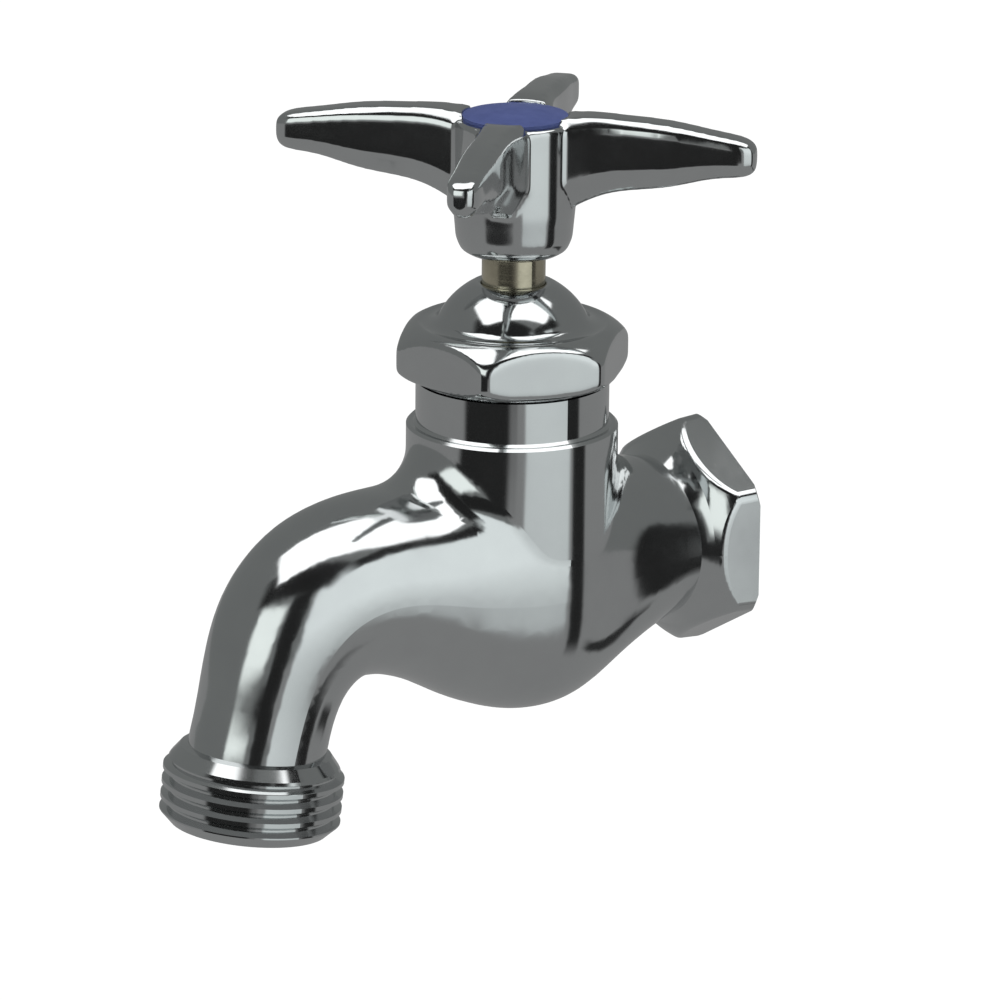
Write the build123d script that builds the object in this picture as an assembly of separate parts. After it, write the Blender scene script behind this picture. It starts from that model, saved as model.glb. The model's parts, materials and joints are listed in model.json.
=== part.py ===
"""Chrome-plated compression hose bib: female pipe inlet, hose-thread outlet, four-arm handle.

Millimetres. The origin is the centre of the inlet mouth. +Y leaves the inlet towards the wall
and the supply pipe, +Z is up, and the spout hangs on the -Y side in the plane X = 0.
Each piece of the valve is one node, drawn with the valve closed.
"""

from build123d import *
from math import copysign, cos, pi, radians, sin, sqrt, tan
import os

# ---- driving dimensions -------------------------------------------------------------------

STEM_Y = -35.0            # the stem axis, behind the inlet mouth
FIT_GAP = 0.06            # radial clearance of a turning, sliding or screwed fit
FACE_GAP = 0.02           # gap left between faces that only meet
STEP = 0.4                # small edge breaks
OVERCUT = 1.0             # how far a cutter runs past the face it opens
THREAD_FLANK = 30.0       # degrees
HEX_CORNER_R = 2.0        # the hexagons' corners are rounded

# supply inlet: 1/2 inch taper pipe thread in a hexagonal boss
INLET_AF = 31.4           # at the mouth; the flats are drafted and close in towards the crown
INLET_CROWN_AF = 30.2
INLET_CROWN = 9.6         # length of the boss, mouth to the foot of its turned crown
INLET_COVE_ARC = ((12.2, 0.0), (13.1, 1.3), (14.2, 2.4))  # (radius, distance from that foot)
INLET_SHOULDER_ARC = (INLET_COVE_ARC[-1], (16.5, 4.4), (INLET_AF / sqrt(3), 7.0))
INLET_EDGE = 0.9
INLET_ROUND = 1.5         # between the crown and the flats
PIPE_CREST_R = 9.13       # the tapping drill
PIPE_PITCH = 25.4 / 14
PIPE_DEPTH = 1.2          # of the first thread root, getting less along the taper
PIPE_TURNS = 7
PIPE_TAPER = 1 / 32
PIPE_BORE = 16.0          # depth of the drilled part
PIPE_FIRST_TURN = 0.85    # pitches from the mouth to the first root
INLET_BORE_R = 6.6
THREAD_FLAT = 1 / 8       # width of a thread's flat root, in pitches

# body casting
BARREL_R = 12.8
BOWL_TOP = 18.0
BOWL_HALF_HEIGHT = 20.0
BOWL_HALF_WIDTH = 16.2
BODY_R = 15.9
NECK_R = 14.5
NECK_LEDGE_Z = 22.2
NECK_TOP_Z = 28.75
SPIGOT_R = 13.2
SPIGOT_TOP_Z = 32.3
SPIGOT_BORE_R = 10.3
CHAMBER_R = 11.6
CHAMBER_FLOOR_Z = 1.0
CHAMBER_TOP_Z = 16.0
LOWER_CHAMBER_Z = -17.5
BRIDGE = 2.5              # metal under the seat
SEAT_LEDGE = 0.6          # width of the ledge the seat bushing rests on
INLET_WAY_END = 16.0      # from the stem axis to the end of the level passage
FALLING_WAY = ((18.5, -1.5), (5.5, -10.5))  # (distance from the stem axis, height)
FALLING_WAY_R = 5.6
SPOUT_WAY = ((5.0, 8.6), (17.0, 4.0), (29.0, 0.8), (38.4, -5.0))
SPOUT_WAY_START = (0, -1, -0.2)
NECK_FILLET = 7.0         # between the neck and the run

# spout and hose outlet: 3/4 inch hose thread
HOSE_R = 13.495
HOSE_PITCH = 25.4 / 11.5
HOSE_DEPTH = 1.1
HOSE_GROOVES = 4
HOSE_FIRST_GROOVE = 0.45  # pitches from the end chamfer to the first root
HOSE_TILT = 6.4           # degrees the outlet leans forward from straight down
HOSE_END_Y = STEM_Y - 46.6
HOSE_END_Z = -33.0
HOSE_END_CHAMFER = 1.7
COLLAR_LENGTH = 9.7
COLLAR_SHOULDER = 2.4     # length of the cone behind the collar
COLLAR_ROUND = 1.2
SPOUT_R = 10.25
SPOUT_BORE_R = 7.4
SPOUT_LIP = 1.0           # how far the cone behind the collar stands out from the spout
OUTLET_BORE_R = 7.8       # machined inside the threaded collar

# valve seat
SEAT_TOP_Z = 4.0
SEAT_BORE_R = 5.6
SEAT_R = 8.4
SEAT_LIP_R = 6.5
SEAT_LIP = 0.8
SEAT_HEIGHT = 5.5

# valve disc: retainer, washer and screw
WASHER_R = 7.8
WASHER_HEIGHT = 3.4
RETAINER_R = 8.7
RETAINER_PLATE = 1.8
RETAINER_RIM = 1.9
SWIVEL_R = 3.3
SWIVEL_HEIGHT = 5.6
SCREW_R = 1.9
SCREW_HEAD_R = 3.6
SCREW_HEAD = 1.5
SCREW_LENGTH = 9.2
SCREW_SLOT = 1.0

# stem and its screwed barrel
STEM_R = 4.76
STEM_FOOT_R = 6.4
STEM_THREAD_R = 7.4
STEM_LIFT = 6.35          # two turns of the stem thread, 8 to the inch
STEM_SHOULDER_Z = 17.2
STEM_SQUARE = 6.6
STEM_SQUARE_Z = 51.0
STEM_TOP_Z = 59.6
STEM_TAPPING = 10.0       # depth of the hole for the handle screw
SOCKET_END_GAP = 0.3      # room left over the end of a post, shank or thread
BARREL_FOOT_Z = 17.0
BARREL_STOP_Z = 34.2
FLANGE_R = 12.5
FLANGE_TOP_Z = 35.4
GASKET_HEIGHT = 1.0

# stuffing box and bonnet nut
PACKING_R = 6.9
PACKING_WASHER = 0.8
PACKING_RING = 1.6
PACKING_RINGS = ("packing_ring_lower", "packing_ring_middle", "packing_ring_upper")
NUT_AF = 31.75
NUT_TURN = 12.4           # degrees from +X to a corner
NUT_BASE_R = 14.6
NUT_HEX_Z = 29.7
NUT_TOP_Z = 43.7
# turned outline, as arcs through (radius, height over the foot of the flats)
NUT_CORNER_R = NUT_AF / sqrt(3)
NUT_FOOT_ARC = ((NUT_BASE_R, 0.0), (17.3, 0.6), (NUT_CORNER_R, 1.7))
NUT_SHOULDER_ARC = ((NUT_CORNER_R, 3.9), (16.9, 6.3), (14.3, 8.0))
NUT_HOLLOW_ARC = (NUT_SHOULDER_ARC[-1], (12.4, 7.9), (11.3, 8.5))
NUT_DOME_ARC = (NUT_HOLLOW_ARC[-1], (9.2, 11.5), (5.9, NUT_TOP_Z - NUT_HEX_Z))

# four-arm handle
ARM_COUNT = 4
ARM_TURN = 43.1           # degrees from +X to the first arm
HUB_BOTTOM_Z = 48.1
HUB_R = 9.1
HUB_FOOT = ((6.4, 0.0), (8.0, 0.9), (8.7, 2.6), (HUB_R, 7.0))  # (radius, height over its bottom)
HUB_TOP_Z = 68.6
HUB_FLOOR_Z = 62.6
HUB_POCKET_R = 6.2
HANDLE_SCREW_R = 2.08
HANDLE_SCREW_SLOT = 1.1
HANDLE_SCREW_LENGTH = 11.0
HANDLE_SCREW_HEAD_R = 4.2
HANDLE_SCREW_HEAD = 2.0
LOCK_WASHER = 0.9
LOCK_WASHER_SPLIT = 0.6
LOCK_WASHER_TURN = 30.0   # lean of the split, degrees
BUTTON_R = 7.85
BUTTON_RIM = 0.5
BUTTON_CROWN = 0.75
BUTTON_SKIRT = 2.0
BUTTON_SKIRT_WALL = 1.0


# ---- drawing helpers ----------------------------------------------------------------------

def on_stem(shape):
    """Move a shape drawn about the Z axis to the stem axis."""
    return Pos(0, STEM_Y, 0) * shape


def turned(*corners):
    """A solid of revolution about Z from (radius, height) corners."""
    return revolve(Plane.XZ * make_face(Polyline(*corners, close=True)), Axis.Z)


def ring(outer, inner, low, high):
    """A plain ring between two heights."""
    return turned((inner, low), (outer, low), (outer, high), (inner, high))


def rod(radius, low, high):
    """A plain cylinder between two heights."""
    return Pos(0, 0, (low + high) / 2) * Cylinder(radius, high - low)


def arc(points, base):
    """An arc through three (radius, height) points, their heights counted from `base`."""
    return ThreePointArc(*[(radius, base + height) for radius, height in points])


def hexagon(low_af, high_af, low, high, turn=0.0):
    """A hexagonal bar with rounded corners, one corner at `turn` degrees from +X."""
    ends = []
    for across_flats, height in ((low_af, low), (high_af, high)):
        outline = RegularPolygon(across_flats / sqrt(3), 6, rotation=turn)
        ends.append(Pos(0, 0, height) * fillet(outline.vertices(), HEX_CORNER_R))
    return loft(ends)


def along_y(shape):
    """Turn a shape drawn along +Z so that it lies along +Y."""
    return Rot(-90, 0, 0) * shape


def thread_groove(middle, root_r, past_r, pitch):
    """One ring of a thread about Z: a V that is flat at `root_r` and open at `past_r`."""
    root_half = pitch * THREAD_FLAT / 2
    past_half = root_half + abs(past_r - root_r) * tan(radians(THREAD_FLANK))
    return turned(
        (root_r, middle - root_half),
        (root_r, middle + root_half),
        (past_r, middle + past_half),
        (past_r, middle - past_half),
    )


# ---- body casting -------------------------------------------------------------------------

# The casting's run from the inlet to the outlet, as sections across its centre line:
# (distance behind the stem axis, height, forward lean in degrees, half width, half height)
RUN = (
    (-28.0, 0.0, 0.0, BARREL_R, BARREL_R),
    (-24.0, -0.2, 0.0, BARREL_R, BARREL_R),
    (-19.5, -0.7, 0.0, 12.9, 14.1),
    (-14.5, -1.4, 0.0, 13.2, 15.9),
    (-10.0, -1.9, 0.0, 14.0, 17.8),
    (-5.0, -2.1, 0.0, 15.4, 19.4),
    (0.0, BOWL_TOP - BOWL_HALF_HEIGHT, 0.0, BOWL_HALF_WIDTH, BOWL_HALF_HEIGHT),
    (5.0, -2.0, 0.0, 15.7, 19.4),
    (10.0, -1.6, 0.0, 14.9, 18.2),
    (14.0, -1.1, 0.0, 14.2, 16.9),
    (19.5, 0.0, 0.0, 13.5, 15.0),
    (26.0, 0.9, 4.0, 12.8, 13.8),
    (33.5, -0.4, 24.0, 12.1, 13.0),
    (39.2, -5.0, 52.0, 11.4, 11.9),
    (42.4, -11.4, 72.0, 10.6, 10.7),
    (44.2, -17.6, 80.0, SPOUT_R, SPOUT_R),
)
RUN_FULLNESS = 2.0        # how much squarer than an ellipse the tall sections are
RUN_POINTS = 16           # points round a section


def section(behind, height, lean, half_width, half_height):
    """One section of the run, facing the outlet: round, or a full oval where it is tall."""
    across = Plane(
        origin=(0, STEM_Y - behind, height),
        x_dir=(1, 0, 0),
        z_dir=(0, -cos(radians(lean)), -sin(radians(lean))),
    )
    power = 2 / (2 + RUN_FULLNESS * (half_height / half_width - 1))
    outline = []
    for step in range(RUN_POINTS):
        turn = 2 * pi * step / RUN_POINTS
        outline.append((
            copysign(half_width * abs(cos(turn)) ** power, cos(turn)),
            copysign(half_height * abs(sin(turn)) ** power, sin(turn)),
        ))
    return across * make_face(Spline(*outline, periodic=True))


def outlet_frame(back=0.0):
    """The outlet's own frame: +Z leaves the outlet, `back` mm behind its end face."""
    lean = radians(HOSE_TILT)
    way_out = Vector(0, -sin(lean), -cos(lean))
    end = Vector(0, HOSE_END_Y, HOSE_END_Z)
    return Plane(origin=end - way_out * back, x_dir=(1, 0, 0), z_dir=way_out)


def hose_collar():
    """Threaded outlet collar along +Z, its end face at 0."""
    back = -COLLAR_LENGTH
    blank = turned(
        (0, back - COLLAR_SHOULDER),
        (SPOUT_R - STEP, back - COLLAR_SHOULDER),
        (SPOUT_R + SPOUT_LIP, back - COLLAR_SHOULDER + STEP),
        (HOSE_R - SPOUT_LIP, back - STEP),
        (HOSE_R, back + COLLAR_ROUND),
        (HOSE_R, -HOSE_END_CHAMFER),
        (HOSE_R - HOSE_END_CHAMFER, 0),
        (0, 0),
    )
    for turn in range(HOSE_GROOVES):
        middle = -HOSE_END_CHAMFER - HOSE_PITCH * (turn + HOSE_FIRST_GROOVE)
        blank -= thread_groove(middle, HOSE_R - HOSE_DEPTH, HOSE_R + STEP, HOSE_PITCH)
    return blank


def on_crown_rim(edge):
    """Is this one of the edges where the boss's turned crown runs into its flats?"""
    return edge.geom_type == GeomType.BSPLINE and -INLET_CROWN < (edge @ 0.5).Z < -INLET_CROWN / 3


def inlet_boss():
    """Hexagonal inlet boss along +Z, its mouth at 0, with a turned crown in front."""
    foot = -INLET_CROWN
    corner_r, crown_top = INLET_SHOULDER_ARC[-1]
    outline = (
        Polyline((0, 0), (0, foot), (INLET_COVE_ARC[0][0], foot))
        + arc(INLET_COVE_ARC, foot)
        + arc(INLET_SHOULDER_ARC, foot)
        + Polyline(
            (corner_r, foot + crown_top), (corner_r, -INLET_EDGE), (corner_r - INLET_EDGE, 0), (0, 0))
    )
    crown = revolve(Plane.XZ * make_face(outline), Axis.Z)
    boss = crown & hexagon(INLET_CROWN_AF, INLET_AF, foot, 0, turn=90)
    return fillet([edge for edge in boss.edges() if on_crown_rim(edge)], INLET_ROUND)


def pipe_tap():
    """What is cut from the inlet, along +Z with the mouth at 0: drilled bore and grooves."""
    tool = rod(PIPE_CREST_R, -PIPE_BORE, OVERCUT)
    tool += turned((0, -STEP), (PIPE_CREST_R, -STEP), (PIPE_CREST_R + 2 * STEP, STEP), (0, STEP))
    for turn in range(PIPE_TURNS):
        middle = -PIPE_PITCH * (turn + PIPE_FIRST_TURN)
        root_r = PIPE_CREST_R + PIPE_DEPTH + middle * PIPE_TAPER
        tool += thread_groove(middle, root_r, PIPE_CREST_R - STEP, PIPE_PITCH)
    return tool


def bored(start, end, radius):
    """A straight round passage between two points."""
    way = Vector(end) - Vector(start)
    return Plane(origin=start, z_dir=way).location * rod(radius, 0, way.length)


def behind_stem(distance, height):
    """A point in the plane X = 0, this far from the stem axis towards the spout."""
    return (0, STEM_Y - distance, height)


def waterways():
    """The passages inside the casting, apart from the tapped inlet."""
    seat_foot = SEAT_TOP_Z - SEAT_HEIGHT - FACE_GAP
    inlet_way = bored((0, OVERCUT - PIPE_BORE, 0), behind_stem(-INLET_WAY_END, 0), INLET_BORE_R)
    falling_way = bored(*[behind_stem(-out, z) for out, z in FALLING_WAY], FALLING_WAY_R)
    under_seat = rod(SEAT_R - SEAT_LEDGE, LOWER_CHAMBER_Z, seat_foot - BRIDGE)
    seat_hole = rod(SEAT_BORE_R, seat_foot - BRIDGE - OVERCUT, seat_foot + OVERCUT)
    seat_socket = rod(SEAT_R + FIT_GAP, seat_foot, CHAMBER_FLOOR_Z + OVERCUT)
    chamber = rod(CHAMBER_R, CHAMBER_FLOOR_Z, CHAMBER_TOP_Z)
    neck_bore = rod(SPIGOT_BORE_R, CHAMBER_TOP_Z - OVERCUT, SPIGOT_TOP_Z + OVERCUT)
    collar = outlet_frame(COLLAR_LENGTH)
    line = Spline(
        *[behind_stem(*point) for point in SPOUT_WAY],
        (0, collar.origin.Y, collar.origin.Z),
        tangents=(SPOUT_WAY_START, (0, collar.z_dir.Y, collar.z_dir.Z)),
    )
    spout_way = sweep(Plane(origin=line @ 0, z_dir=line % 0) * Circle(SPOUT_BORE_R), line)
    outlet_way = collar.location * rod(OUTLET_BORE_R, -OVERCUT, COLLAR_LENGTH + OVERCUT)
    upright = [under_seat, seat_hole, seat_socket, chamber, neck_bore]
    return [inlet_way, falling_way, *map(on_stem, upright), spout_way, outlet_way]


def on_neck_wall(edge):
    """Is this one of the curved edges where the neck's wall meets the run?"""
    places = [edge @ part for part in (0.0, 0.5, 1.0)]
    return edge.geom_type == GeomType.BSPLINE and all(
        abs(sqrt(place.X ** 2 + (place.Y - STEM_Y) ** 2) - BODY_R) < 0.01 for place in places)


def faucet_body():
    """The one-piece casting: inlet boss, bowl, neck, spout and threaded outlet."""
    spout_end = outlet_frame(COLLAR_LENGTH + COLLAR_SHOULDER / 2) * Circle(SPOUT_R)
    run = loft([section(*stage) for stage in RUN] + [spout_end])
    neck = on_stem(turned(
        (0, 0),
        (BODY_R, 0),
        (BODY_R, NECK_LEDGE_Z - STEP),
        (BODY_R - STEP, NECK_LEDGE_Z),
        (NECK_R + STEP, NECK_LEDGE_Z),
        (NECK_R, NECK_LEDGE_Z + STEP),
        (NECK_R, NECK_TOP_Z),
        (SPIGOT_R, NECK_TOP_Z),
        (SPIGOT_R, SPIGOT_TOP_Z),
        (0, SPIGOT_TOP_Z),
    ))
    casting = run + neck
    junction = [edge for edge in casting.edges() if on_neck_wall(edge)]
    casting = fillet(junction, NECK_FILLET)
    casting += outlet_frame().location * hose_collar()
    casting += along_y(inlet_boss())
    casting -= along_y(pipe_tap())
    for way in waterways():
        casting -= way
    return casting


# ---- seat, disc and stem ------------------------------------------------------------------

WASHER_Z = SEAT_TOP_Z + FACE_GAP
RETAINER_Z = WASHER_Z + WASHER_HEIGHT + FACE_GAP
STEM_FOOT_Z = RETAINER_Z + RETAINER_PLATE + FACE_GAP
STEM_THREAD_TOP_Z = BARREL_STOP_Z - STEM_LIFT - SOCKET_END_GAP


def valve_seat():
    """Renewable seat bushing with its raised lip."""
    foot = SEAT_TOP_Z - SEAT_HEIGHT
    shoulder = SEAT_TOP_Z - SEAT_LIP
    return on_stem(turned(
        (SEAT_BORE_R, foot),
        (SEAT_R, foot),
        (SEAT_R, shoulder),
        (SEAT_LIP_R + STEP, shoulder),
        (SEAT_LIP_R, SEAT_TOP_Z),
        (SEAT_BORE_R, SEAT_TOP_Z),
    ))


def seat_washer():
    """Flat rubber washer that closes on the seat lip."""
    top = WASHER_Z + WASHER_HEIGHT
    bore = SCREW_R + FIT_GAP
    return on_stem(turned(
        (bore, WASHER_Z),
        (WASHER_R - STEP, WASHER_Z),
        (WASHER_R, WASHER_Z + STEP),
        (WASHER_R, top),
        (bore, top),
    ))


def washer_retainer():
    """Swivelling brass cup that holds the washer, with a post that turns in the stem's foot."""
    top = RETAINER_Z + RETAINER_PLATE
    cup = ring(RETAINER_R, WASHER_R + FIT_GAP, RETAINER_Z - RETAINER_RIM, RETAINER_Z)
    plate = ring(RETAINER_R, SCREW_R + FIT_GAP / 2, RETAINER_Z, top)
    post = ring(SWIVEL_R, SCREW_R + FIT_GAP / 2, top, top + SWIVEL_HEIGHT)
    return on_stem(cup + plate + post)


def slotted_screw(shank_r, head_r, head, length, slot):
    """A slotted screw with a coned head, hanging from z = 0, its head above."""
    cone = head / 2
    blank = turned(
        (0, -length),
        (shank_r - STEP, -length),
        (shank_r, -length + STEP),
        (shank_r, 0),
        (head_r, 0),
        (head_r, head - cone),
        (head_r - cone, head),
        (0, head),
    )
    return blank - Pos(0, 0, head) * Box(3 * head_r, slot, head)


def washer_screw():
    """Bibb screw, driven up through the washer into the retainer's post."""
    screw = slotted_screw(SCREW_R, SCREW_HEAD_R, SCREW_HEAD, SCREW_LENGTH, SCREW_SLOT)
    return on_stem(Pos(0, 0, WASHER_Z - FACE_GAP) * Rot(180, 0, 0) * screw)


def square_bar(width, top):
    """A square bar on the stem's axis, from just under its square to `top`."""
    low = STEM_SQUARE_Z - OVERCUT
    return Pos(0, 0, (low + top) / 2) * Box(width, width, top - low)


def stem():
    """Brass stem: swivel socket, screwed length, round shank, square and tapped end."""
    blank = turned(
        (0, STEM_FOOT_Z),
        (STEM_FOOT_R, STEM_FOOT_Z),
        (STEM_FOOT_R, STEM_SHOULDER_Z),
        (STEM_THREAD_R, STEM_SHOULDER_Z + STEM_THREAD_R - STEM_FOOT_R),
        (STEM_THREAD_R, STEM_THREAD_TOP_Z),
        (STEM_R, STEM_THREAD_TOP_Z),
        (STEM_R, STEM_TOP_Z),
        (0, STEM_TOP_Z),
    )
    past_top = STEM_TOP_Z + OVERCUT
    socket_top = STEM_FOOT_Z + SWIVEL_HEIGHT + SOCKET_END_GAP
    blank -= rod(2 * STEM_R, STEM_SQUARE_Z, past_top) - square_bar(STEM_SQUARE, past_top)
    blank -= rod(SWIVEL_R + FIT_GAP, STEM_FOOT_Z - OVERCUT, socket_top)
    blank -= rod(HANDLE_SCREW_R + FIT_GAP / 2, STEM_TOP_Z - STEM_TAPPING, past_top)
    return on_stem(blank)


def stem_barrel():
    """Screwed barrel that guides the stem; its flange is clamped by the bonnet nut."""
    flange_foot = SPIGOT_TOP_Z + GASKET_HEIGHT + 2 * FACE_GAP
    return on_stem(turned(
        (STEM_THREAD_R + FIT_GAP, BARREL_FOOT_Z),
        (SPIGOT_BORE_R - FIT_GAP, BARREL_FOOT_Z),
        (SPIGOT_BORE_R - FIT_GAP, flange_foot),
        (FLANGE_R, flange_foot),
        (FLANGE_R, FLANGE_TOP_Z),
        (STEM_R + FIT_GAP, FLANGE_TOP_Z),
        (STEM_R + FIT_GAP, BARREL_STOP_Z),
        (STEM_THREAD_R + FIT_GAP, BARREL_STOP_Z),
    ))


def barrel_gasket():
    """Fibre gasket between the neck and the barrel's flange."""
    low = SPIGOT_TOP_Z + FACE_GAP
    return on_stem(ring(FLANGE_R, SPIGOT_BORE_R + STEP, low, low + GASKET_HEIGHT))


# ---- stuffing box and bonnet nut ----------------------------------------------------------

PACKING_Z = FLANGE_TOP_Z + FACE_GAP
PACKING_STACK_Z = PACKING_Z + PACKING_WASHER + FACE_GAP
GLAND_Z = PACKING_STACK_Z + len(PACKING_RINGS) * (PACKING_RING + FACE_GAP)
NUT_CEILING_Z = GLAND_Z + PACKING_WASHER + FACE_GAP


def packing_ring(place):
    """One soft packing ring, `place` rings up the stack."""
    low = PACKING_STACK_Z + place * (PACKING_RING + FACE_GAP)
    return on_stem(ring(PACKING_R, STEM_R + FIT_GAP, low, low + PACKING_RING))


def packing_washer(low):
    """Brass friction washer under or over the packing."""
    return on_stem(ring(PACKING_R, STEM_R + FIT_GAP, low, low + PACKING_WASHER))


def bonnet_nut():
    """Hexagonal bonnet nut with a rounded shoulder and a domed stuffing box."""
    base = NECK_TOP_Z + FACE_GAP
    outline = (
        Polyline((0, NUT_TOP_Z), (0, base), (NUT_BASE_R, base), (NUT_BASE_R, NUT_HEX_Z))
        + arc(NUT_FOOT_ARC, NUT_HEX_Z)
        + Line((NUT_CORNER_R, NUT_HEX_Z + NUT_FOOT_ARC[-1][1]),
               (NUT_CORNER_R, NUT_HEX_Z + NUT_SHOULDER_ARC[0][1]))
        + arc(NUT_SHOULDER_ARC, NUT_HEX_Z)
        + arc(NUT_HOLLOW_ARC, NUT_HEX_Z)
        + arc(NUT_DOME_ARC, NUT_HEX_Z)
        + Line((NUT_DOME_ARC[-1][0], NUT_TOP_Z), (0, NUT_TOP_Z))
    )
    nut = revolve(Plane.XZ * make_face(outline), Axis.Z)
    nut &= hexagon(NUT_AF, NUT_AF, base, NUT_TOP_Z + OVERCUT, turn=NUT_TURN)
    nut -= rod(SPIGOT_R + FIT_GAP, base - OVERCUT, FLANGE_TOP_Z + FACE_GAP)
    nut -= rod(PACKING_R + FIT_GAP, FLANGE_TOP_Z, NUT_CEILING_Z)
    nut -= rod(STEM_R + FIT_GAP, NUT_CEILING_Z - OVERCUT, NUT_TOP_Z + OVERCUT)
    return on_stem(nut)


# ---- handle -------------------------------------------------------------------------------

# Arm sections: (distance out from the stem axis, underside, top, half width)
ARM = (
    (4.0, 52.0, 68.9, 4.6),
    (8.6, 55.6, 69.7, 3.9),
    (12.0, 57.4, 70.0, 3.3),
    (18.0, 59.0, 69.8, 2.95),
    (27.0, 60.7, 68.9, 2.75),
    (33.2, 61.8, 67.9, 2.5),
    (35.4, 62.3, 67.2, 2.0),
    (36.3, 63.3, 66.2, 1.0),
)


def arm_section(out, low, high, half_width):
    """Eight-cornered section across an arm that lies along +X."""
    deep = high - low
    corners = (
        (0.66 * half_width, high),
        (half_width, high - 0.13 * deep),
        (half_width, low + 0.30 * deep),
        (0.42 * half_width, low),
    )
    outline = [(y, z) for y, z in corners] + [(-y, z) for y, z in reversed(corners)]
    return Plane(origin=(out, 0, 0), x_dir=(0, 1, 0), z_dir=(1, 0, 0)) * make_face(
        Polyline(*outline, close=True))


def handle():
    """Four-arm handle with a square socket and a screw pocket closed by the button."""
    hub = turned(
        (0, HUB_BOTTOM_Z),
        *[(radius, HUB_BOTTOM_Z + height) for radius, height in HUB_FOOT],
        (HUB_R, HUB_TOP_Z - STEP),
        (HUB_R - STEP, HUB_TOP_Z),
        (0, HUB_TOP_Z),
    )
    arm = loft([arm_section(*stage) for stage in ARM])
    for turn in range(ARM_COUNT):
        hub += Rot(0, 0, ARM_TURN + turn * 360 / ARM_COUNT) * arm
    hub -= rod(STEM_R + FIT_GAP, HUB_BOTTOM_Z - OVERCUT, STEM_SQUARE_Z)
    hub -= square_bar(STEM_SQUARE + 2 * FIT_GAP, STEM_TOP_Z + SOCKET_END_GAP)
    hub -= rod(HANDLE_SCREW_R + SOCKET_END_GAP, STEM_TOP_Z - OVERCUT, HUB_TOP_Z)
    hub -= rod(HUB_POCKET_R, HUB_FLOOR_Z, HUB_TOP_Z + OVERCUT)
    hub -= rod(BUTTON_R + FIT_GAP, HUB_TOP_Z, HUB_TOP_Z + 2 * BUTTON_CROWN)
    return on_stem(hub)


def handle_lock_washer():
    """Split spring washer under the handle screw's head."""
    bore_r = HANDLE_SCREW_R + 2 * FIT_GAP
    middle = Pos((bore_r + HANDLE_SCREW_HEAD_R) / 2, 0, LOCK_WASHER / 2)
    washer = ring(HANDLE_SCREW_HEAD_R, bore_r, 0, LOCK_WASHER)
    saw = Box(HANDLE_SCREW_HEAD_R, LOCK_WASHER_SPLIT, 4 * LOCK_WASHER)
    washer -= middle * Rot(LOCK_WASHER_TURN, 0, 0) * saw
    return on_stem(Pos(0, 0, HUB_FLOOR_Z + FACE_GAP) * washer)


def handle_screw():
    """Screw that holds the handle down on the stem's square."""
    seat = HUB_FLOOR_Z + LOCK_WASHER + 2 * FACE_GAP
    return on_stem(Pos(0, 0, seat) * slotted_screw(
        HANDLE_SCREW_R, HANDLE_SCREW_HEAD_R, HANDLE_SCREW_HEAD, HANDLE_SCREW_LENGTH,
        HANDLE_SCREW_SLOT))


def index_button():
    """Domed cold-water button with a snap skirt in the handle's pocket."""
    rim_z = HUB_TOP_Z + FACE_GAP
    crown_z = rim_z + BUTTON_RIM + BUTTON_CROWN
    crown_r = (BUTTON_R ** 2 + BUTTON_CROWN ** 2) / (2 * BUTTON_CROWN)
    dome = rod(BUTTON_R, rim_z, crown_z) & Pos(0, 0, crown_z - crown_r) * Sphere(crown_r)
    skirt_r = HUB_POCKET_R - FACE_GAP
    skirt = ring(skirt_r, skirt_r - BUTTON_SKIRT_WALL, HUB_TOP_Z - BUTTON_SKIRT, rim_z)
    return on_stem(dome + skirt)


# ---- write the parts ----------------------------------------------------------------------

def all_parts():
    """Every piece by its node name."""
    pieces = {
        "faucet_body": faucet_body(),
        "valve_seat": valve_seat(),
        "seat_washer": seat_washer(),
        "washer_retainer": washer_retainer(),
        "washer_screw": washer_screw(),
        "stem": stem(),
        "stem_barrel": stem_barrel(),
        "barrel_gasket": barrel_gasket(),
        "packing_washer": packing_washer(PACKING_Z),
        "gland_ring": packing_washer(GLAND_Z),
        "bonnet_nut": bonnet_nut(),
        "handle": handle(),
        "handle_lock_washer": handle_lock_washer(),
        "handle_screw": handle_screw(),
        "index_button": index_button(),
    }
    for place, name in enumerate(PACKING_RINGS):
        pieces[name] = packing_ring(place)
    return pieces


if __name__ == "__main__":
    os.makedirs("parts", exist_ok=True)
    for name, piece in all_parts().items():
        export_step(piece, f"parts/{name}.step")
        print(name, round(piece.volume), "mm3")
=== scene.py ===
"""Looks for the chrome-plated hose bib: materials, stage, light and camera around the CAD frame.

Metres, in the CAD frame: the inlet mouth is the origin, +Y leaves the inlet, +Z is up.
"""

import json
from math import cos, hypot, radians, sin

import bpy
from mathutils import Matrix, Vector


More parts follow.
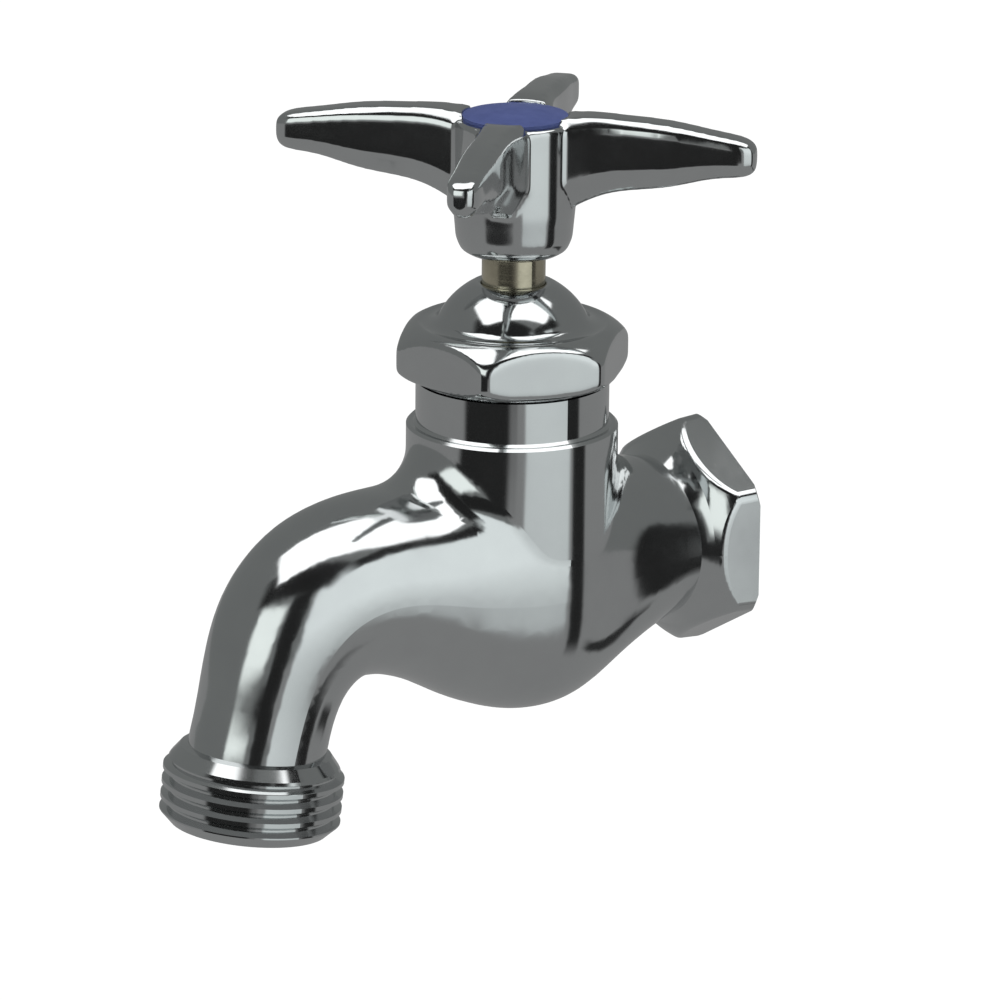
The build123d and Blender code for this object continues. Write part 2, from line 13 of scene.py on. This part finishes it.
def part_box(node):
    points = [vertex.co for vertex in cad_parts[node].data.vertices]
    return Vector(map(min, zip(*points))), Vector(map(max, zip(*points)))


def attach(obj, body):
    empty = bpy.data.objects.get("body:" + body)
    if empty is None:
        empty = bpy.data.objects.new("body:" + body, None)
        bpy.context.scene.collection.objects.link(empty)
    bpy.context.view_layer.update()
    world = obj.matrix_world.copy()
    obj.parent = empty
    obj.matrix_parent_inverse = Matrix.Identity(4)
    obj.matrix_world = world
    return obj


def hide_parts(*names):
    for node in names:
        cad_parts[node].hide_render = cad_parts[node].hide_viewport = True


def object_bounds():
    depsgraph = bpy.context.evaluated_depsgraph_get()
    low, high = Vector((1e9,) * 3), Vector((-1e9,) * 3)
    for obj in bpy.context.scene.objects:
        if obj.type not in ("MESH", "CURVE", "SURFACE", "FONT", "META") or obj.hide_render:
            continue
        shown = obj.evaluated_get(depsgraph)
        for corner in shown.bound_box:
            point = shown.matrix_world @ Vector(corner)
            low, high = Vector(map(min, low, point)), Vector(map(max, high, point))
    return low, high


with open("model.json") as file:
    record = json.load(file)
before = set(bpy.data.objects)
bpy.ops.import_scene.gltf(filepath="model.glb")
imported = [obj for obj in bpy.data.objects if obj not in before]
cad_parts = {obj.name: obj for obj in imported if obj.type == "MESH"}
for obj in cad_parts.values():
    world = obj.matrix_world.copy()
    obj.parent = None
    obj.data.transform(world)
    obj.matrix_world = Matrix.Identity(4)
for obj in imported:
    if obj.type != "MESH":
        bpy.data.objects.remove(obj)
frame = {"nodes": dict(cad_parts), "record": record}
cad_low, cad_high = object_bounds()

# ---- view -----------------------------------------------------------------------------------

VIEW_AZIMUTH = 55.63     # degrees round +Z from -Y
VIEW_ELEVATION = 16.92
VIEW_ROLL = 0.58
VIEW_DISTANCE = 1.0
VIEW_TARGET = Vector((-0.00026, -0.03704, 0.00995))
VIEW_NEAREST = 0.01
LENS = 239.9
SENSOR = 36.0


def direction(around, up):
    """Unit vector from the object, `around` degrees right of the camera and `up` above level."""
    turn = radians(VIEW_AZIMUTH + around)
    rise = radians(up)
    return Vector((sin(turn) * cos(rise), -cos(turn) * cos(rise), sin(rise)))


def looking_in(around, up, distance, roll=0.0):
    """Pose at `distance` that way from the target, looking at it, level but for `roll` degrees."""
    back = direction(around, up)
    right = Vector((0, 0, 1)).cross(back).normalized()
    top = back.cross(right)
    lean = radians(roll)
    leant_right = right * cos(lean) + top * sin(lean)
    leant_top = top * cos(lean) - right * sin(lean)
    turned = Matrix((leant_right, leant_top, back)).transposed().to_4x4()
    return Matrix.Translation(VIEW_TARGET + back * distance) @ turned


def make_camera():
    data = bpy.data.cameras.new("camera")
    data.lens = LENS
    data.sensor_width = SENSOR
    data.clip_start = VIEW_NEAREST
    camera = bpy.data.objects.new("camera", data)
    bpy.context.scene.collection.objects.link(camera)
    camera.matrix_world = looking_in(0, VIEW_ELEVATION, VIEW_DISTANCE, VIEW_ROLL)
    bpy.context.scene.camera = camera


# ---- node helpers ---------------------------------------------------------------------------

def add_node(tree, kind, **settings):
    node = tree.nodes.new(kind)
    for name, value in settings.items():
        setattr(node, name, value)
    return node


def feed(tree, socket, value):
    """Link a socket to an output, or set it to a plain value."""
    if hasattr(value, "is_output"):
        tree.links.new(value, socket)
    else:
        socket.default_value = value


def calculate(tree, operation, *values):
    node = add_node(tree, "ShaderNodeMath", operation=operation)
    for socket, value in zip(node.inputs, values):
        feed(tree, socket, value)
    return node.outputs[0]


def spread(tree, value, low, high, new_low, new_high, **settings):
    """Map low..high to new_low..new_high, held at the ends."""
    node = add_node(tree, "ShaderNodeMapRange", **settings)
    feed(tree, node.inputs["Value"], value)
    for socket, number in zip(("From Min", "From Max", "To Min", "To Max"),
                              (low, high, new_low, new_high)):
        node.inputs[socket].default_value = number
    return node.outputs["Result"]


class Shader:
    """One Principled surface and the nodes that feed it, placed by object coordinates."""

    def __init__(self, name):
        self.material = bpy.data.materials.new(name)
        self.material.use_nodes = True
        self.tree = self.material.node_tree
        self.surface = self.tree.nodes["Principled BSDF"]
        self.place = add_node(self.tree, "ShaderNodeTexCoord").outputs["Object"]

    def put(self, **values):
        """Set or link the surface's sockets, named with _ for spaces."""
        for name, value in values.items():
            feed(self.tree, self.surface.inputs[name.replace("_", " ")], value)

    def noise(self, scale, detail=3.0, rough=0.5, stretch=None):
        """Noise of `scale` cells a metre, or with `stretch` of that many along each axis."""
        node = add_node(self.tree, "ShaderNodeTexNoise")
        place = self.place
        if stretch:
            mapping = add_node(self.tree, "ShaderNodeMapping")
            feed(self.tree, mapping.inputs["Vector"], place)
            mapping.inputs["Scale"].default_value = stretch
            place = mapping.outputs["Vector"]
        feed(self.tree, node.inputs["Vector"], place)
        node.inputs["Scale"].default_value = scale
        node.inputs["Detail"].default_value = detail
        node.inputs["Roughness"].default_value = rough
        return node.outputs["Fac"]

    def spread(self, value, low, high, new_low=0.0, new_high=1.0):
        return spread(self.tree, value, low, high, new_low, new_high)

    def mix(self, factor, first, second):
        """Blend of two colours, each given as (red, green, blue) or as an output."""
        node = add_node(self.tree, "ShaderNodeMix", data_type="RGBA")
        feed(self.tree, node.inputs[0], factor)
        for socket, colour in ((node.inputs[6], first), (node.inputs[7], second)):
            feed(self.tree, socket, (*colour, 1) if isinstance(colour, tuple) else colour)
        return node.outputs[2]

    def sum(self, first, second):
        return calculate(self.tree, "ADD", first, second)

    def bump(self, height, distance, strength=1.0):
        node = add_node(self.tree, "ShaderNodeBump")
        feed(self.tree, node.inputs["Height"], height)
        node.inputs["Distance"].default_value = distance
        node.inputs["Strength"].default_value = strength
        return node.outputs["Normal"]


# ---- materials ------------------------------------------------------------------------------

CHROME_BRIGHT = (0.60, 0.62, 0.62)
CHROME_HANDLED = (0.56, 0.575, 0.58)
CHROME_ROUGHNESS = 0.09
CHROME_SWELL = 0.000003
TOOL_MARK = 0.000006     # depth of turning marks in brass and steel
MOULD_GRAIN = 0.00001
BRASS = (0.74, 0.54, 0.26)
STEM_BRASS = (0.60, 0.555, 0.42)
DULLED = 0.62            # what brass keeps of its colour in a dull patch
STEEL_BRIGHT = (0.58, 0.57, 0.55)
STEEL_DULL = (0.45, 0.45, 0.45)
BLUE_LIGHT = (0.072, 0.098, 0.285)
BLUE_DARK = (0.055, 0.078, 0.235)
BLUE_WORN = (0.14, 0.17, 0.34)
RUBBER = (0.02, 0.02, 0.021)
FIBRE = (0.28, 0.065, 0.04)
PACKING = (0.05, 0.05, 0.052)
PALER = 1.5              # the lighter grain in rubber, fibre and packing


def chrome(name):
    """Bright plating: a little swell from the casting, handling film and fine hairlines."""
    s = Shader(name)
    film = s.noise(95.0, detail=4.0, rough=0.6)
    hairline = s.noise(1.0, detail=2.0, rough=0.6, stretch=(260.0, 3200.0, 2300.0))
    smear = s.spread(film, 0.45, 0.8, CHROME_ROUGHNESS, CHROME_ROUGHNESS + 0.05)
    s.put(Metallic=1.0)
    s.put(Base_Color=s.mix(s.spread(film, 0.3, 0.75), CHROME_BRIGHT, CHROME_HANDLED))
    s.put(Roughness=s.sum(smear, s.spread(hairline, 0.62, 0.8, 0.0, 0.05)))
    s.put(Normal=s.bump(s.noise(60.0, detail=1.0, rough=0.4), CHROME_SWELL))
    return s.material


def brass(name, colour, roughness):
    """Turned brass: tool marks round the axis, and dull patches."""
    s = Shader(name)
    dull = s.noise(140.0, detail=4.0, rough=0.6)
    rings = s.noise(1.0, detail=2.0, rough=0.5, stretch=(60.0, 60.0, 4200.0))
    dark = tuple(DULLED * c for c in colour)
    s.put(Metallic=1.0)
    s.put(Base_Color=s.mix(s.spread(dull, 0.4, 0.75), colour, dark))
    s.put(Roughness=s.sum(s.spread(dull, 0.35, 0.75, roughness, roughness + 0.12),
                          s.spread(rings, 0.5, 0.75, 0.0, 0.05)))
    s.put(Normal=s.bump(rings, TOOL_MARK, 0.6))
    return s.material


def steel(name):
    """Turned steel, with a fine grain round the axis."""
    s = Shader(name)
    grain = s.noise(1.0, detail=3.0, rough=0.6, stretch=(900.0, 900.0, 5000.0))
    s.put(Metallic=1.0)
    s.put(Base_Color=s.mix(s.noise(200.0), STEEL_BRIGHT, STEEL_DULL))
    s.put(Roughness=s.spread(grain, 0.3, 0.7, 0.24, 0.38))
    s.put(Normal=s.bump(grain, TOOL_MARK, 0.5))
    return s.material


def blue_plastic(name):
    """Moulded button: slightly mottled blue with a fine satin texture and rubbed high spots."""
    s = Shader(name)
    mottle = s.noise(260.0, detail=4.0, rough=0.6)
    grain = s.noise(3600.0, detail=2.0, rough=0.5)
    worn = s.spread(s.noise(420.0, detail=5.0, rough=0.7), 0.58, 0.8, 0.0, 0.35)
    base = s.mix(s.spread(mottle, 0.3, 0.7), BLUE_LIGHT, BLUE_DARK)
    s.put(Base_Color=s.mix(worn, base, BLUE_WORN))
    s.put(Roughness=s.spread(mottle, 0.3, 0.7, 0.42, 0.55))
    s.put(Specular_IOR_Level=0.35)
    s.put(Normal=s.bump(grain, MOULD_GRAIN, 0.35))
    return s.material


def soft(name, colour, scale, roughness, depth):
    """Rubber, fibre or packing: matt, with a grain of its own size."""
    s = Shader(name)
    grain = s.noise(scale, detail=5.0, rough=0.65)
    pale = tuple(PALER * c for c in colour)
    s.put(Base_Color=s.mix(s.spread(grain, 0.35, 0.7), colour, pale))
    s.put(Roughness=s.spread(grain, 0.3, 0.7, roughness, roughness + 0.15))
    s.put(Specular_IOR_Level=0.3)
    s.put(Normal=s.bump(grain, depth, 0.6))
    return s.material


def dress():
    """Give every CAD node the material that the record's slot for it names."""
    finish = {
        "chrome_body": chrome("chrome_body"),
        "chrome_nut": chrome("chrome_nut"),
        "chrome_handle": chrome("chrome_handle"),
        "brass": brass("brass", BRASS, roughness=0.24),
        "stem_brass": brass("stem_brass", STEM_BRASS, roughness=0.16),
        "steel": steel("steel"),
        "rubber": soft("rubber", RUBBER, scale=900.0, roughness=0.55, depth=0.00002),
        "fibre": soft("fibre", FIBRE, scale=1500.0, roughness=0.7, depth=0.00003),
        "packing": soft("packing", PACKING, scale=2200.0, roughness=0.5, depth=0.00005),
        "blue_plastic": blue_plastic("blue_plastic"),
    }
    slot_of = {part["node"]: part["material_slot"] for part in frame["record"]["subparts"]}
    for name, node in frame["nodes"].items():
        node.data.materials.clear()
        node.data.materials.append(finish[slot_of[name]])


# ---- rounded forgings -----------------------------------------------------------------------

SKIN_VOXEL = 0.00027
SKIN_RELAX = 0.5         # how far each round moves a point towards its neighbours' middle
SKIN_BLEND = 0.0009      # over which the relaxing comes in outside the kept radius
NUT_ROUNDS = 29
HANDLE_ROUNDS = 26

# (height over the piece's foot, radius round the stem axis inside which its shape is kept)
NUT_KEPT = ((0.0, 0.0133), (0.0025, 0.0142))
HANDLE_KEPT = ((0.0, 0.0052), (0.0025, 0.0079), (0.0190, 0.0079), (0.0200, 0.0089))


def kept_radius(table, height):
    """Radius at `height` in a table of (height, radius) steps, straight between them."""
    (below, radius), *steps = table
    for above, next_radius in steps:
        if height < above:
            share = max(0.0, height - below) / (above - below)
            return radius + (next_radius - radius) * share
        below, radius = above, next_radius
    return radius


def apply_modifiers(piece):
    evaluated = piece.evaluated_get(bpy.context.evaluated_depsgraph_get())
    mesh = bpy.data.meshes.new_from_object(evaluated)
    piece.modifiers.clear()
    piece.data = mesh
    return mesh


def polished(node, body, rounds, kept):
    """Stand for a CAD node with a copy whose outer edges are ground and polished round.

    The copy is remeshed finely and relaxed `rounds` times. What lies nearer the stem axis than
    the radius in the table `kept` keeps the shape that its fits need.
    """
    low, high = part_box(node)
    axis = ((low[0] + high[0]) / 2, (low[1] + high[1]) / 2)
    piece = bpy.data.objects.new(node + "_polished", frame["nodes"][node].data.copy())
    bpy.context.scene.collection.objects.link(piece)
    remesh = piece.modifiers.new("even_skin", "REMESH")
    remesh.mode = "VOXEL"
    remesh.voxel_size = SKIN_VOXEL
    even = apply_modifiers(piece)
    free = piece.vertex_groups.new(name="outer_skin")
    for vertex in even.vertices:
        out = hypot(vertex.co.x - axis[0], vertex.co.y - axis[1])
        past = out - kept_radius(kept, vertex.co.z - low[2])
        if past > 0:
            free.add([vertex.index], min(1.0, past / SKIN_BLEND), "REPLACE")
    relax = piece.modifiers.new("polish", "SMOOTH")
    relax.factor = SKIN_RELAX
    relax.iterations = rounds
    relax.vertex_group = free.name
    for face in apply_modifiers(piece).polygons:
        face.use_smooth = True
    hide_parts(node)
    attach(piece, body)


def polish_forgings():
    polished("bonnet_nut", "housing", NUT_ROUNDS, NUT_KEPT)
    polished("handle", "stem_and_handle", HANDLE_ROUNDS, HANDLE_KEPT)


# ---- stage ----------------------------------------------------------------------------------

FLOOR_DROP = 0.75        # the bib hangs from its inlet, well above the floor
FLOOR_HALF = 6.0
FLOOR_LIGHT = 0.5        # what dull surfaces get from the floor
FLOOR_MIRRORED = 0.29    # and what polished metal sees of it
WALL_LIGHT = 0.6
WALL_MIRRORED = 0.21
WALL_TINT = (0.97, 1.0, 0.99)
WHITE = 1.05             # both, as the camera sees them


def rectangle(name, wide, high):
    """A flat object in its own XY plane, centred on its origin."""
    mesh = bpy.data.meshes.new(name)
    x, y = wide / 2, high / 2
    mesh.from_pydata([(-x, -y, 0), (x, -y, 0), (x, y, 0), (-x, y, 0)], [], [(0, 1, 2, 3)])
    flat = bpy.data.objects.new(name, mesh)
    bpy.context.scene.collection.objects.link(flat)
    return flat


def bare_tree(flat):
    """Node tree of a new material on `flat`, without a surface yet, and its surface socket."""
    material = bpy.data.materials.new(flat.name)
    material.use_nodes = True
    flat.data.materials.append(material)
    tree = material.node_tree
    tree.nodes.remove(tree.nodes["Principled BSDF"])
    return tree, tree.nodes["Material Output"].inputs["Surface"]


def level_by_ray(tree, light, mirrored, seen):
    """Brightness of the plain stage: as light, in a mirror-like surface, and to the camera."""
    path = add_node(tree, "ShaderNodeLightPath")
    level = light
    for ray, value in (("Is Glossy Ray", mirrored), ("Is Camera Ray", seen)):
        node = add_node(tree, "ShaderNodeMix", data_type="FLOAT")
        feed(tree, node.inputs[0], path.outputs[ray])
        feed(tree, node.inputs[2], level)
        feed(tree, node.inputs[3], value)
        level = node.outputs[0]
    return level


def make_floor():
    floor = rectangle("floor", 2 * FLOOR_HALF, 2 * FLOOR_HALF)
    floor.location.z = cad_low.z - FLOOR_DROP
    tree, surface = bare_tree(floor)
    glow = add_node(tree, "ShaderNodeEmission")
    level = level_by_ray(tree, FLOOR_LIGHT, FLOOR_MIRRORED, WHITE)
    feed(tree, glow.inputs["Strength"], level)
    feed(tree, surface, glow.outputs[0])


def make_world():
    world = bpy.data.worlds.new("studio")
    bpy.context.scene.world = world
    world.use_nodes = True
    background = world.node_tree.nodes["Background"]
    level = level_by_ray(world.node_tree, WALL_LIGHT, WALL_MIRRORED, WHITE)
    feed(world.node_tree, background.inputs["Strength"], level)
    background.inputs["Color"].default_value = (*WALL_TINT, 1)


# ---- light ----------------------------------------------------------------------------------

GLOW_FULL_FROM = 0.45    # share of a panel's height over which its glow rises from the foot
SHADE = 0.02             # glow of a black card
LEFT_TINT = (0.95, 1.0, 0.97)
RIGHT_TINT = (0.95, 1.0, 1.0)


def across(tree, axis):
    """0 to 1 across a flat object along its own X or Y."""
    parts = add_node(tree, "ShaderNodeSeparateXYZ")
    feed(tree, parts.inputs[0], add_node(tree, "ShaderNodeTexCoord").outputs["Generated"])
    return parts.outputs[axis]


def edge_fade(tree, feather):
    """1 in the middle of a panel, falling smoothly to 0 over `feather` of its half width."""
    fades = []
    for axis in ("X", "Y"):
        offset = calculate(tree, "SUBTRACT", across(tree, axis), 0.5)
        off_middle = calculate(tree, "ABSOLUTE", offset)
        fades.append(spread(tree, off_middle, 0.5 - feather / 2, 0.5, 1.0, 0.0,
                            interpolation_type="SMOOTHSTEP"))
    return calculate(tree, "MULTIPLY", *fades)


def panel(name, around, up, distance, size, glow, tint=(1, 1, 1), feather=0.3, lean=0.0, foot=1.0):
    """A soft-edged light panel or black card, seen only by light and reflections.

    It faces the object from `around` degrees right of the camera and `up` above level, leaning
    `lean` degrees. Its light falls to `foot` of the glow at the bottom edge.
    """
    card = rectangle(name, *size)
    card.matrix_world = looking_in(around, up, distance, lean)
    card.visible_camera = False
    card.visible_shadow = False
    tree, surface = bare_tree(card)
    emission = add_node(tree, "ShaderNodeEmission")
    emission.inputs["Color"].default_value = (*tint, 1)
    rising = spread(tree, across(tree, "Y"), 0.0, GLOW_FULL_FROM, glow * foot, glow)
    feed(tree, emission.inputs["Strength"], rising)
    blend = add_node(tree, "ShaderNodeMixShader")
    feed(tree, blend.inputs[0], edge_fade(tree, feather))
    feed(tree, blend.inputs[1], add_node(tree, "ShaderNodeBsdfTransparent").outputs[0])
    feed(tree, blend.inputs[2], emission.outputs[0])
    feed(tree, surface, blend.outputs[0])


def make_light():
    """Soft panels, and the black cards that put dark bands in the chrome.

    Each line: name, degrees right of the camera and up, distance, (width, height), glow.
    """
    panel("ceiling_softbox", 5, 86, 0.62, (1.10, 0.56), 1.9, feather=0.12)
    panel("left_softbox", -37, 16, 0.90, (0.66, 0.66), 1.35, LEFT_TINT, feather=0.35)
    panel("right_softbox", 41, 8, 0.90, (0.97, 1.42), 1.15, RIGHT_TINT, feather=0.16, foot=0.45)
    panel("camera_shade", -3, 12, 0.86, (0.36, 1.0), SHADE, feather=0.3)
    panel("upper_shade", -20, 50, 0.75, (1.40, 0.40), SHADE, feather=0.35)
    panel("upper_shade_right", 60, 42, 0.76, (0.74, 0.18), SHADE, feather=0.5)
    panel("lower_shade", -30, -15, 0.80, (0.90, 0.30), SHADE, feather=0.25)
    panel("right_shade", 77, -8, 0.80, (0.28, 1.05), SHADE, feather=0.4, lean=6)
    panel("far_shade", 112, -33, 0.80, (0.50, 0.10), 0.03, feather=0.6)


# ---- put it together ------------------------------------------------------------------------

bpy.context.scene.view_settings.view_transform = "Standard"
dress()
polish_forgings()
make_camera()
make_floor()
make_world()
make_light()
